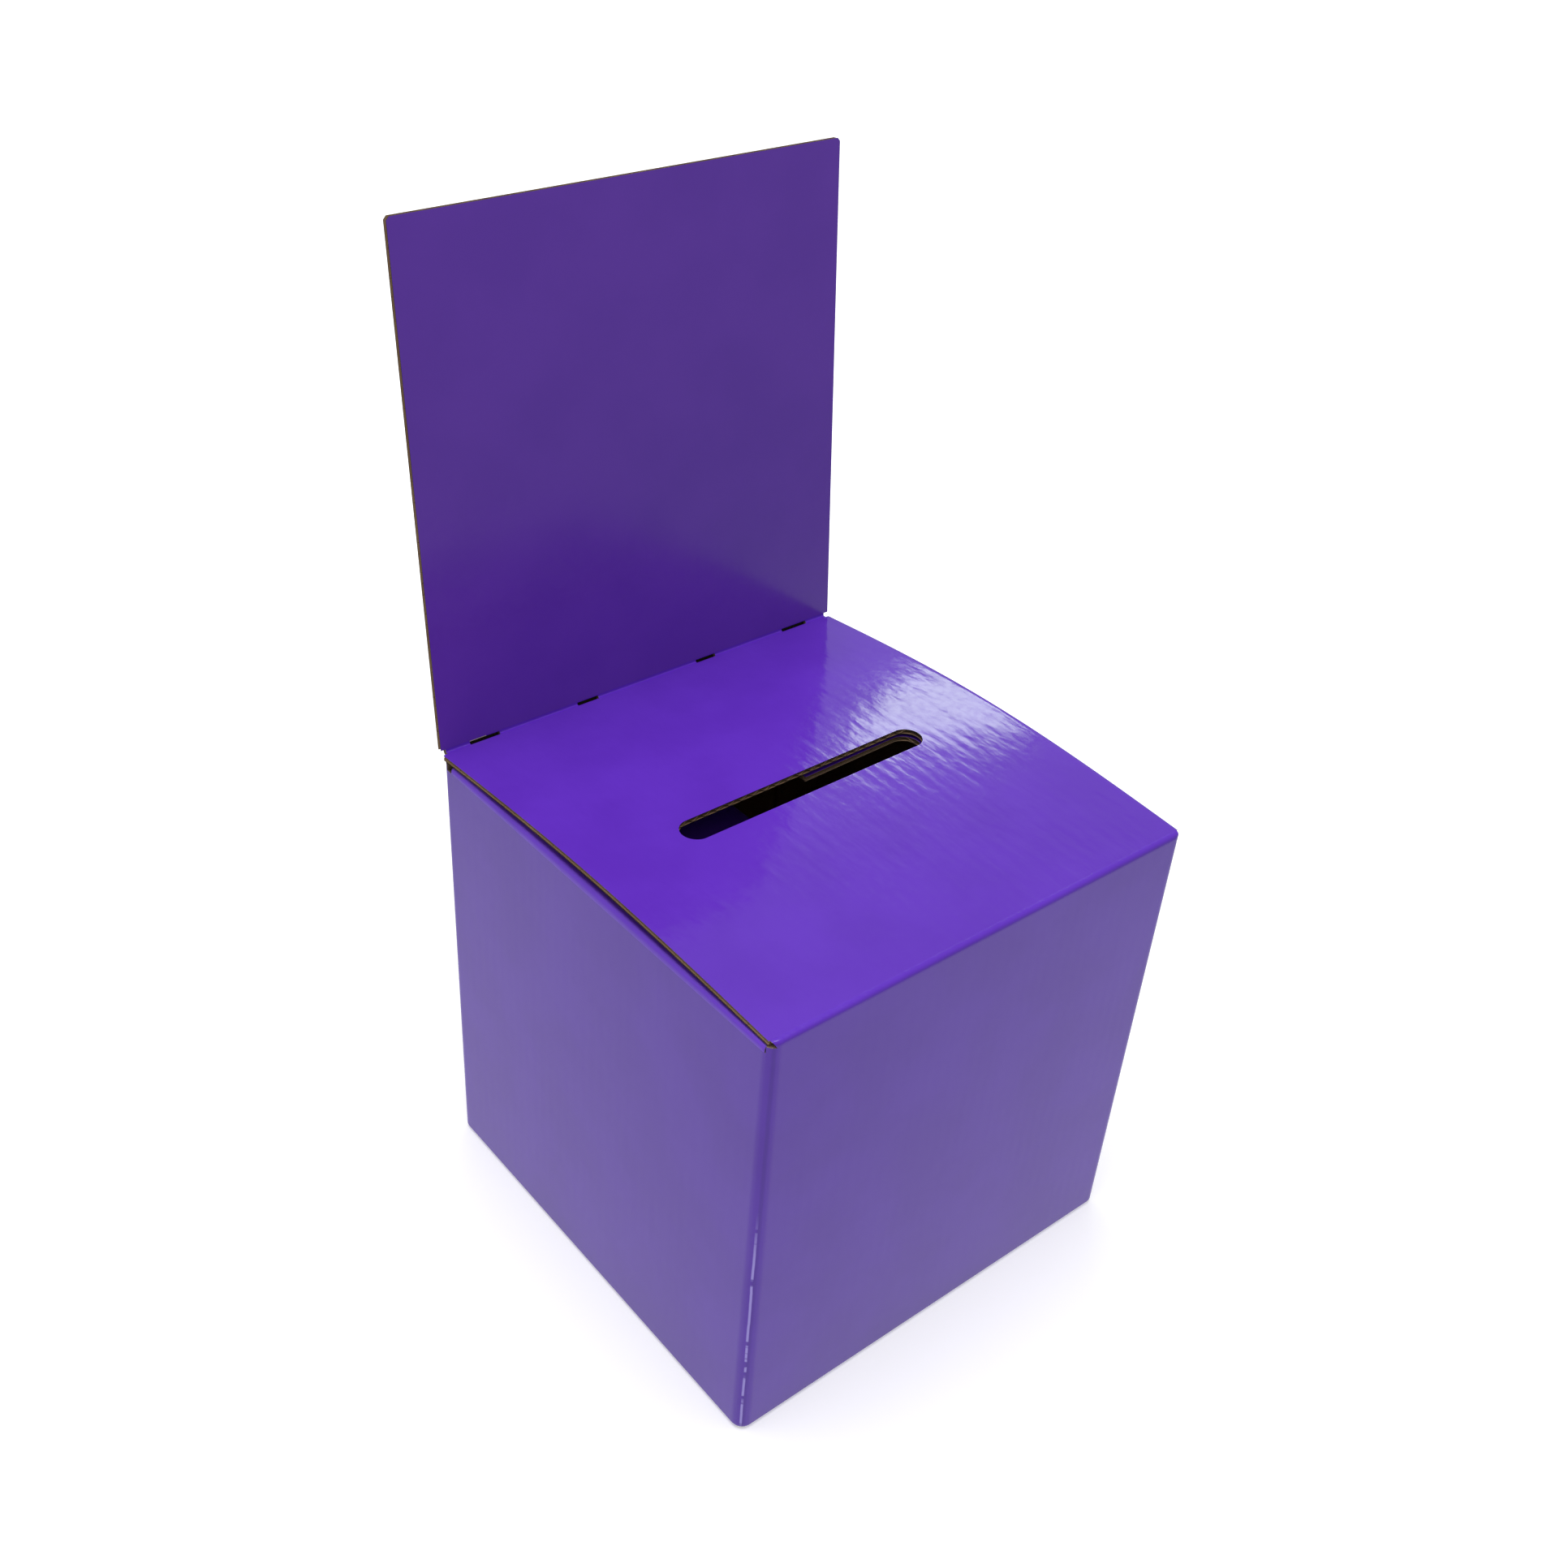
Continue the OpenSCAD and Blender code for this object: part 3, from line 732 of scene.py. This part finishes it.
def fold_strip(name, start, angle, low, high, rows, finishes):
    """Board bent about the Z axis from one direction through an angle"""
    deselect()
    bpy.ops.mesh.primitive_grid_add(x_subdivisions=1, y_subdivisions=rows, size=2)
    piece = bpy.context.object
    piece.name = name
    piece.data.name = name
    pick(piece)
    bpy.ops.object.mode_set(mode="EDIT")
    bpy.ops.mesh.select_all(action="DESELECT")
    bpy.ops.object.mode_set(mode="OBJECT")
    for vertex in piece.data.vertices:
        vertex.select = vertex.co.x > 0
    bpy.ops.object.mode_set(mode="EDIT")
    bpy.ops.mesh.delete(type="VERT")
    bpy.ops.object.mode_set(mode="OBJECT")
    start_x = FOLD * cos(radians(start))
    start_y = FOLD * sin(radians(start))
    reshape(piece, lambda x, y, z: (
        x * 0 + start_x,
        x * 0 + start_y,
        low + (high - low) * (y + 1) / 2))
    bpy.ops.object.mode_set(mode="EDIT")
    bpy.ops.mesh.select_all(action="SELECT")
    bpy.ops.mesh.spin(steps=FOLD_STEPS, angle=radians(angle), center=(0, 0, 0), axis=(0, 0, -1))
    bpy.ops.mesh.select_all(action="SELECT")
    bpy.ops.mesh.remove_doubles(threshold=1e-7)
    bpy.ops.object.mode_set(mode="OBJECT")
    middle = radians(start + angle / 2)
    points = [vertex.co for vertex in piece.data.vertices]
    mean = sum(points, Vector()) / len(points)
    if mean.x * cos(middle) + mean.y * sin(middle) < 0.7 * FOLD:
        raise RuntimeError(name + " was spun the wrong way")
    faces = piece.data.polygons
    if sum(f.normal.x * f.center.x + f.normal.y * f.center.y for f in faces) < 0:
        piece.data.flip_normals()
    thicken(piece, BOARD, -1, finishes)
    return piece


# Turns that lay a fold or a sheet, drawn about Z, along the box
ALONG_X = Matrix(((0, 0, 1, 0), (1, 0, 0, 0), (0, 1, 0, 0), (0, 0, 0, 1)))
ALONG_Y = Matrix(((1, 0, 0, 0), (0, 0, -1, 0), (0, 1, 0, 0), (0, 0, 0, 1)))
UNDER_FROM_LEFT = Matrix(((0, 1, 0, 0), (1, 0, 0, 0), (0, 0, -1, 0), (0, 0, 0, 1)))
UNDER_FROM_RIGHT = Matrix(((0, -1, 0, 0), (-1, 0, 0, 0), (0, 0, -1, 0), (0, 0, 0, 1)))


def rounded_foot(x, y, z):
    """Draws the foot of a corner fold in, as the bottom flaps pull it"""
    share = np.clip((FOLD - z) / FOLD, 0, 1)
    draw = np.sqrt(1 - FOOT_DRAW * share ** 2)
    return x * draw, y * draw, z


def build_corner_folds():
    corners = {
        "front_left_corner_crease": (-FOLD_AT, -FOLD_AT, 180, CORNER_FOOT, WALL_TOP),
        "front_right_corner_crease": (FOLD_AT, -FOLD_AT, 270, CORNER_FOOT, WALL_TOP),
        "rear_left_corner_crease": (-FOLD_AT, FOLD_AT, 90, CORNER_FOOT, BACK_TOP),
        "rear_right_corner_crease": (FOLD_AT, RIGHT_END, 0, FOLD, SIDE_TOP),
    }
    for node, (x, y, start, low, high) in corners.items():
        # The front left fold takes the crack and its band of painted shade
        finishes = CRACKED_AND_SHADED_FACES if node == "front_left_corner_crease" else FOLD_FACES
        piece = fold_strip(node + "_soft", start, 90, low, high, CORNER_ROWS, finishes)
        reshape(piece, rounded_foot)
        place(piece, moved(x, y, 0))
        reshape(piece, softened)
        stand_for(piece, "box", node)


def sharpened(x, y, z):
    """Pushes the round back of a fold out towards a pressed corner"""
    radius = np.hypot(x, y)
    squarer = (np.abs(x / radius) ** 3 + np.abs(y / radius) ** 3) ** (-1 / 3)
    grow = 1 + (squarer - 1) * np.clip((radius - INNER_FOLD) / BOARD, 0, 1)
    return x * grow, y * grow, z


def build_lid_fold():
    piece = fold_strip("lid_crease_bent", 90, 90, -FOLD_AT, FOLD_AT, FOLD_ROWS, LID_FOLD_FACES)
    reshape(piece, sharpened)
    place(piece, moved(0, -FOLD_AT, WALL_TOP) @ ALONG_X)
    wider = LID_SIDE / FOLD_AT - 1
    reshape(piece, lambda x, y, z: (x * (1 + wider * np.clip((z - WALL_TOP) / FOLD, 0, 1)), y, z))
    reshape(piece, softened)
    smooth(piece)
    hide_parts("lid_crease")
    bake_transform(piece)


def build_flap_folds():
    for side, name, sag in ((-1, "left", LEFT_SAG), (1, "right", RIGHT_SAG)):
        start = 90 - sag if side < 0 else 0
        # Their lighter print is a painted highlight on the rounded fold
        piece = fold_strip(name + "_dust_flap_crease_bent", start, 90 + sag,
                           -FLAP_REAR, FLAP_FOLD_FRONT, FOLD_ROWS, FLAP_FOLD_HIGHLIGHT_FACES)
        reshape(piece, sharpened)
        place(piece, moved(side * FOLD_AT, 0, SIDE_TOP) @ ALONG_Y)
        reshape(piece, lifted)
        reshape(piece, softened)
        smooth(piece)
        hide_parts(name + "_dust_flap_crease")
        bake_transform(piece)


def joined(name, parts):
    """Makes one piece of several"""
    deselect()
    for part in parts:
        part.select_set(True)
    bpy.context.view_layer.objects.active = parts[0]
    bpy.ops.object.join()
    piece = bpy.context.object
    piece.name = name
    piece.data.name = name
    return piece


def header_strip(x_range, depth, thickness, finishes, y_range=(-CREASE_HALF, CREASE_HALF)):
    """Board bent up along the header's foot, over one span of the crease"""
    piece = sheet("header_strip", x_range, y_range, columns_of(x_range, PRINT_COLUMNS), CREASE_ROWS)
    lean = radians(90 - HEADER_TILT)
    bend = lean / (2 * HEADER_BEND)

    def bent_up(x, y, z):
        turn = np.clip((y + HEADER_BEND) * bend, 0, lean)
        run = np.minimum(y, -HEADER_BEND) + HEADER_BEND
        rise = np.maximum(y, HEADER_BEND) - HEADER_BEND
        across = np.sin(turn) / bend + run + rise * np.cos(lean)
        up = (1 - np.cos(turn)) / bend + rise * np.sin(lean)
        side = np.sin(turn) * depth
        return x, across + side, up - np.cos(turn) * depth

    reshape(piece, bent_up)
    thicken(piece, thickness, -1, finishes)
    return piece


def build_header_fold():
    """Strips of creased board, and at each slit a thin near-black web behind its two lips, painted shade seen
    through the slit; the first slit's upper lip is pale on its left part, painted light of the floor seen through
    it
    """
    below = (-CREASE_HALF, -SLIT_HALF)
    above = (SLIT_HALF, CREASE_HALF)
    parts = [header_strip(span, 0, BOARD, FOLD_FACES) for span in STRIPS]
    for low, high in SLITS:
        # Near-black web: painted shade seen through the slit
        parts.append(header_strip((low, high), BOARD - LINER, LINER, SLIT_SHADE_FACES))
        parts.append(header_strip((low, high), 0, BOARD, FOLD_FACES, below))
        # The upper lip is pale up to this point: painted light of the floor seen through the slit
        lit_end = max(low, min(high, LIT_LIP_END))
        parts.append(header_strip((lit_end, high), 0, BOARD, FOLD_FACES, above))
        if lit_end > low:
            parts.append(header_strip((low, lit_end), 0, BOARD, LIT_LIP_FACES, above))
    piece = joined("header_crease_bent", parts)
    place(piece, moved(0, LID_CUT + CREASE_HALF - HEADER_BEND, LID_TOP))
    smooth(piece)
    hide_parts("header_crease")
    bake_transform(piece)


def climbing_board(name, x_range, reach, rise, matrix):
    """Board that climbs from a fold under a wall to its layer of the bottom"""
    piece = sheet(name, x_range, (0, reach), columns_of(x_range, PRINT_COLUMNS), CLIMB_ROWS)
    reshape(piece, lambda x, y, z: (x, y, z - rise * y / reach))
    thicken(piece, BOARD, -1, FOLD_FACES)
    place(piece, matrix)
    return piece


def build_bottom_folds():
    wall_gap = BOARD + BOTTOM_GAP
    front = wall_gap - HALF
    rear = FOLD_AT - REAR_STEP - BOTTOM_GAP
    floor_left = moved(-FOLD_AT, 0, 0) @ UNDER_FROM_LEFT
    floor_right = moved(FOLD_AT, 0, 0) @ UNDER_FROM_RIGHT
    floor_rear = moved(0, FOLD_AT, 0) @ turned(180, "X")
    left = moved(-FOLD_AT, 0, FOLD) @ ALONG_Y
    right = moved(FOLD_AT, 0, FOLD) @ ALONG_Y
    folds = {
        "front_bottom_crease": (180, moved(0, -FOLD_AT, FOLD) @ ALONG_X, (-FOLD_AT, FOLD_AT), None),
        "left_bottom_crease": (180, left, (-FOLD_AT, FOLD_AT),
                               ((front, rear), SIDE_STEP, LAYER, floor_left)),
        "right_bottom_crease": (270, right, (-RIGHT_END, FOLD_AT),
                                ((-rear, -front), SIDE_STEP, LAYER, floor_right)),
        "rear_bottom_crease": (270, moved(0, FOLD_AT, FOLD) @ ALONG_X, (-FOLD_AT, FOLD_AT),
                               ((front, -front), REAR_STEP, 2 * LAYER, floor_rear)),
    }
    for node, (start, matrix, (low, high), step) in folds.items():
        piece = fold_strip(node + "_soft", start, 90, low, high, FOLD_ROWS, FOLD_FACES)
        place(piece, matrix)
        if step:
            piece = joined(node + "_soft", [piece, climbing_board(node + "_climb", *step)])
        reshape(piece, softened)
        stand_for(piece, "box", node)


def finish_cad_nodes():
    """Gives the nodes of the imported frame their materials"""
    for name, node in frame["nodes"].items():
        if name == "glue_line":
            finish = GLUE
        elif name.endswith("fluting"):
            finish = FLUTE
        elif name.endswith("inner_liner") or name == "glue_tab":
            finish = KRAFT
        elif name.endswith("printed_liner"):
            finish = PRINT
        else:
            finish = FOLD_PRINT
        node.data.materials.clear()
        node.data.materials.append(finish)


build_lid()
build_header()
build_flap("left_dust_flap", "left_flap", -1, ON_LEFT_FLAP)
build_flap("right_dust_flap", "right_flap", 1, ON_RIGHT_FLAP)
build_walls()
build_corner_folds()
build_lid_fold()
build_header_fold()
build_flap_folds()
build_bottom_folds()
finish_cad_nodes()


# Floor, light and camera

BLACK = (0, 0, 0)
WHITE = (1, 1, 1)
FLOOR_SIZE = 12
FLOOR_DROP = 0.0002
FLOOR_GREY = (0.8, 0.8, 0.8)

# The floor's own light, near the box and far from it, as the camera and the varnish see it
NEAR = 0.3
FAR = 0.75
NEAR_GLOW = (0.42, 0.42, 0.42)
FAR_GLOW = (0.85, 0.85, 0.85)
NEAR_MIRRORED = (0.9, 0.87, 0.96)
FAR_MIRRORED = (0.4, 0.42, 0.4)
ROOM_GREY = (0.42, 0.42, 0.44)


def build_floor():
    deselect()
    bpy.ops.mesh.primitive_plane_add(size=FLOOR_SIZE, location=(0, 0, -FLOOR_DROP))
    floor = bpy.context.object
    floor.name = "floor"
    material, nodes, links = node_tree("pale_floor")
    shader = nodes["Principled BSDF"]
    shader.inputs["Roughness"].default_value = 0.9
    shader.inputs["Specular IOR Level"].default_value = 0.1
    path = nodes.new("ShaderNodeLightPath")
    coordinates = nodes.new("ShaderNodeTexCoord")
    distance = nodes.new("ShaderNodeVectorMath")
    distance.operation = "LENGTH"
    links.new(coordinates.outputs["Object"], distance.inputs[0])
    away = spread(nodes, links, distance.outputs["Value"], NEAR, FAR)
    glossy = path.outputs["Is Glossy Ray"]
    lit = mix_colours(nodes, links, glossy, FLOOR_GREY, BLACK)
    links.new(lit, shader.inputs["Base Color"])
    glow = mix_colours(nodes, links, away, NEAR_GLOW, FAR_GLOW)
    shown = mix_colours(nodes, links, path.outputs["Is Camera Ray"], BLACK, glow)
    mirrored = mix_colours(nodes, links, away, NEAR_MIRRORED, FAR_MIRRORED)
    shown = mix_colours(nodes, links, glossy, shown, mirrored)
    links.new(shown, shader.inputs["Emission Color"])
    shader.inputs["Emission Strength"].default_value = 1
    floor.data.materials.append(material)


def build_world():
    world = bpy.data.worlds.new("pale_room")
    bpy.context.scene.world = world
    world.use_nodes = True
    nodes, links = world.node_tree.nodes, world.node_tree.links
    path = nodes.new("ShaderNodeLightPath")
    shown = mix_colours(nodes, links, path.outputs["Is Camera Ray"], ROOM_GREY, WHITE)
    links.new(shown, nodes["Background"].inputs["Color"])


# Lamps: place, aim, width, height, power in watts, and tint
LAMPS = {
    "overhead": ((-0.12, -0.02, 1.45), (0, 0, 0.1), 1.0, 1.0, 15.5, WHITE),
    "window": ((1.12, 0.915, 1.03), (0.088, 0.006, 0.208), 0.3, 0.22, 1.2, (0.86, 1.0, 0.74)),
    "window_glow": ((1.3, 1.06, 1.15), (0.089, 0.008, 0.207), 1.0, 0.8, 0.3, WHITE),
}


def build_lamp(name, place_at, aim, width, height, power, tint):
    data = bpy.data.lights.new(name, "AREA")
    data.shape = "RECTANGLE"
    data.size = width
    data.size_y = height
    data.energy = power
    data.color = tint
    lamp = bpy.data.objects.new(name, data)
    bpy.context.scene.collection.objects.link(lamp)
    lamp.location = place_at
    lamp.rotation_euler = (Vector(aim) - Vector(place_at)).to_track_quat("-Z", "Y").to_euler()


# Camera: place, angles in degrees, and lens and sensor in millimetres
CAMERA_AT = (-0.3801, -0.3999, 0.5836)
CAMERA_HEADING = 38.557
CAMERA_TILT = -34.667
CAMERA_ROLL = 2.239
CAMERA_LENS = 39.668
CAMERA_SENSOR = 36
CAMERA_SHIFT = (0.0651, 0.0022)
CAMERA_NEAR = 0.01


def build_camera():
    data = bpy.data.cameras.new("camera")
    data.lens = CAMERA_LENS
    data.sensor_width = CAMERA_SENSOR
    data.shift_x, data.shift_y = CAMERA_SHIFT
    data.clip_start = CAMERA_NEAR
    camera = bpy.data.objects.new("camera", data)
    bpy.context.scene.collection.objects.link(camera)
    turn = turned(-CAMERA_HEADING, "Z") @ turned(90 + CAMERA_TILT, "X") @ turned(CAMERA_ROLL, "Z")
    camera.matrix_world = moved(*CAMERA_AT) @ turn
    bpy.context.scene.camera = camera


build_floor()
build_world()
for name, lamp in LAMPS.items():
    build_lamp(name, *lamp)
build_camera()
bpy.context.scene.view_settings.view_transform = "Standard"
